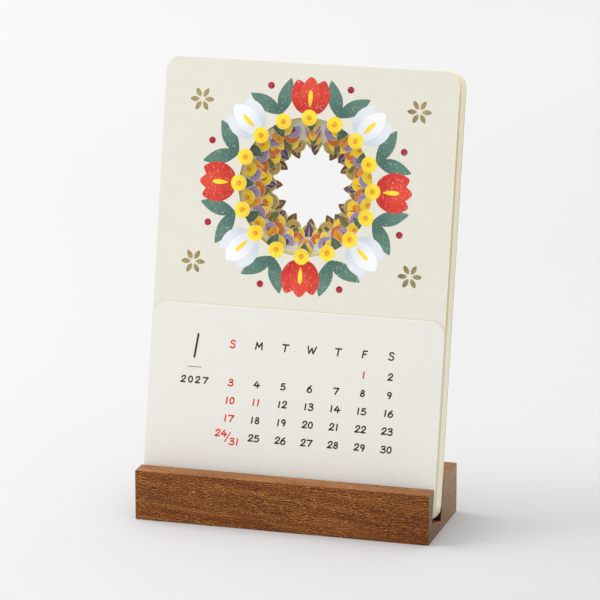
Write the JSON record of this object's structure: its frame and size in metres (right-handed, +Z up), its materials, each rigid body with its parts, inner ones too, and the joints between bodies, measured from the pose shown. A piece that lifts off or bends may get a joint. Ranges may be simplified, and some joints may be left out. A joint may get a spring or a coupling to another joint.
{
  "type": "desk calendar",
  "caption": "Desk calendar: a wooden block whose leaning slot holds a stack of tall picture cards with cut-out windows and short date cards.",
  "frame": {"origin": "the middle of the stand's flat underside", "axes": "+Z up, the front of the cards towards -Y, +X to the right as seen from the front"},
  "size_m": [0.101, 0.048, 0.1504],
  "materials": {
    "brown_wood": "satin",
    "cream_card": "matte",
    "white_card": "matte"
  },
  "bodies": {
    "stand": {"stand": "brown_wood"},
    "date_card_01": {"date_card_01": "white_card"},
    "picture_card_01": {"picture_card_01": "cream_card"},
    "date_card_02": {"date_card_02": "white_card"},
    "picture_card_02": {"picture_card_02": "cream_card"},
    "date_card_03": {"date_card_03": "white_card"},
    "picture_card_03": {"picture_card_03": "cream_card"},
    "date_card_04": {"date_card_04": "white_card"},
    "picture_card_04": {"picture_card_04": "cream_card"},
    "date_card_05": {"date_card_05": "white_card"},
    "picture_card_05": {"picture_card_05": "cream_card"},
    "date_card_06": {"date_card_06": "white_card"},
    "picture_card_06": {"picture_card_06": "cream_card"},
    "date_card_07": {"date_card_07": "white_card"},
    "picture_card_07": {"picture_card_07": "cream_card"},
    "date_card_08": {"date_card_08": "white_card"},
    "picture_card_08": {"picture_card_08": "cream_card"},
    "date_card_09": {"date_card_09": "white_card"},
    "picture_card_09": {"picture_card_09": "cream_card"},
    "date_card_10": {"date_card_10": "white_card"},
    "picture_card_10": {"picture_card_10": "cream_card"},
    "date_card_11": {"date_card_11": "white_card"},
    "picture_card_11": {"picture_card_11": "cream_card"},
    "date_card_12": {"date_card_12": "white_card"},
    "picture_card_12": {"picture_card_12": "cream_card"}
  },
  "joints": [
    {"name": "date_card_01_lift", "type": "slide", "parent": "stand", "child": "date_card_01", "axis": [0, 0.2113, 0.9774], "range_m": [0, 0.15]},
    {"name": "picture_card_01_lift", "type": "slide", "parent": "stand", "child": "picture_card_01", "axis": [0, 0.2113, 0.9774], "range_m": [0, 0.15]},
    {"name": "date_card_02_lift", "type": "slide", "parent": "stand", "child": "date_card_02", "axis": [0, 0.2113, 0.9774], "range_m": [0, 0.15]},
    {"name": "picture_card_02_lift", "type": "slide", "parent": "stand", "child": "picture_card_02", "axis": [0, 0.2113, 0.9774], "range_m": [0, 0.15]},
    {"name": "date_card_03_lift", "type": "slide", "parent": "stand", "child": "date_card_03", "axis": [0, 0.2113, 0.9774], "range_m": [0, 0.15]},
    {"name": "picture_card_03_lift", "type": "slide", "parent": "stand", "child": "picture_card_03", "axis": [0, 0.2113, 0.9774], "range_m": [0, 0.15]},
    {"name": "date_card_04_lift", "type": "slide", "parent": "stand", "child": "date_card_04", "axis": [0, 0.2113, 0.9774], "range_m": [0, 0.15]},
    {"name": "picture_card_04_lift", "type": "slide", "parent": "stand", "child": "picture_card_04", "axis": [0, 0.2113, 0.9774], "range_m": [0, 0.15]},
    {"name": "date_card_05_lift", "type": "slide", "parent": "stand", "child": "date_card_05", "axis": [0, 0.2113, 0.9774], "range_m": [0, 0.15]},
    {"name": "picture_card_05_lift", "type": "slide", "parent": "stand", "child": "picture_card_05", "axis": [0, 0.2113, 0.9774], "range_m": [0, 0.15]},
    {"name": "date_card_06_lift", "type": "slide", "parent": "stand", "child": "date_card_06", "axis": [0, 0.2113, 0.9774], "range_m": [0, 0.15]},
    {"name": "picture_card_06_lift", "type": "slide", "parent": "stand", "child": "picture_card_06", "axis": [0, 0.2113, 0.9774], "range_m": [0, 0.15]},
    {"name": "date_card_07_lift", "type": "slide", "parent": "stand", "child": "date_card_07", "axis": [0, 0.2113, 0.9774], "range_m": [0, 0.15]},
    {"name": "picture_card_07_lift", "type": "slide", "parent": "stand", "child": "picture_card_07", "axis": [0, 0.2113, 0.9774], "range_m": [0, 0.15]},
    {"name": "date_card_08_lift", "type": "slide", "parent": "stand", "child": "date_card_08", "axis": [0, 0.2113, 0.9774], "range_m": [0, 0.15]},
    {"name": "picture_card_08_lift", "type": "slide", "parent": "stand", "child": "picture_card_08", "axis": [0, 0.2113, 0.9774], "range_m": [0, 0.15]},
    {"name": "date_card_09_lift", "type": "slide", "parent": "stand", "child": "date_card_09", "axis": [0, 0.2113, 0.9774], "range_m": [0, 0.15]},
    {"name": "picture_card_09_lift", "type": "slide", "parent": "stand", "child": "picture_card_09", "axis": [0, 0.2113, 0.9774], "range_m": [0, 0.15]},
    {"name": "date_card_10_lift", "type": "slide", "parent": "stand", "child": "date_card_10", "axis": [0, 0.2113, 0.9774], "range_m": [0, 0.15]},
    {"name": "picture_card_10_lift", "type": "slide", "parent": "stand", "child": "picture_card_10", "axis": [0, 0.2113, 0.9774], "range_m": [0, 0.15]},
    {"name": "date_card_11_lift", "type": "slide", "parent": "stand", "child": "date_card_11", "axis": [0, 0.2113, 0.9774], "range_m": [0, 0.15]},
    {"name": "picture_card_11_lift", "type": "slide", "parent": "stand", "child": "picture_card_11", "axis": [0, 0.2113, 0.9774], "range_m": [0, 0.15]},
    {"name": "date_card_12_lift", "type": "slide", "parent": "stand", "child": "date_card_12", "axis": [0, 0.2113, 0.9774], "range_m": [0, 0.15]},
    {"name": "picture_card_12_lift", "type": "slide", "parent": "stand", "child": "picture_card_12", "axis": [0, 0.2113, 0.9774], "range_m": [0, 0.15]}
  ]
}
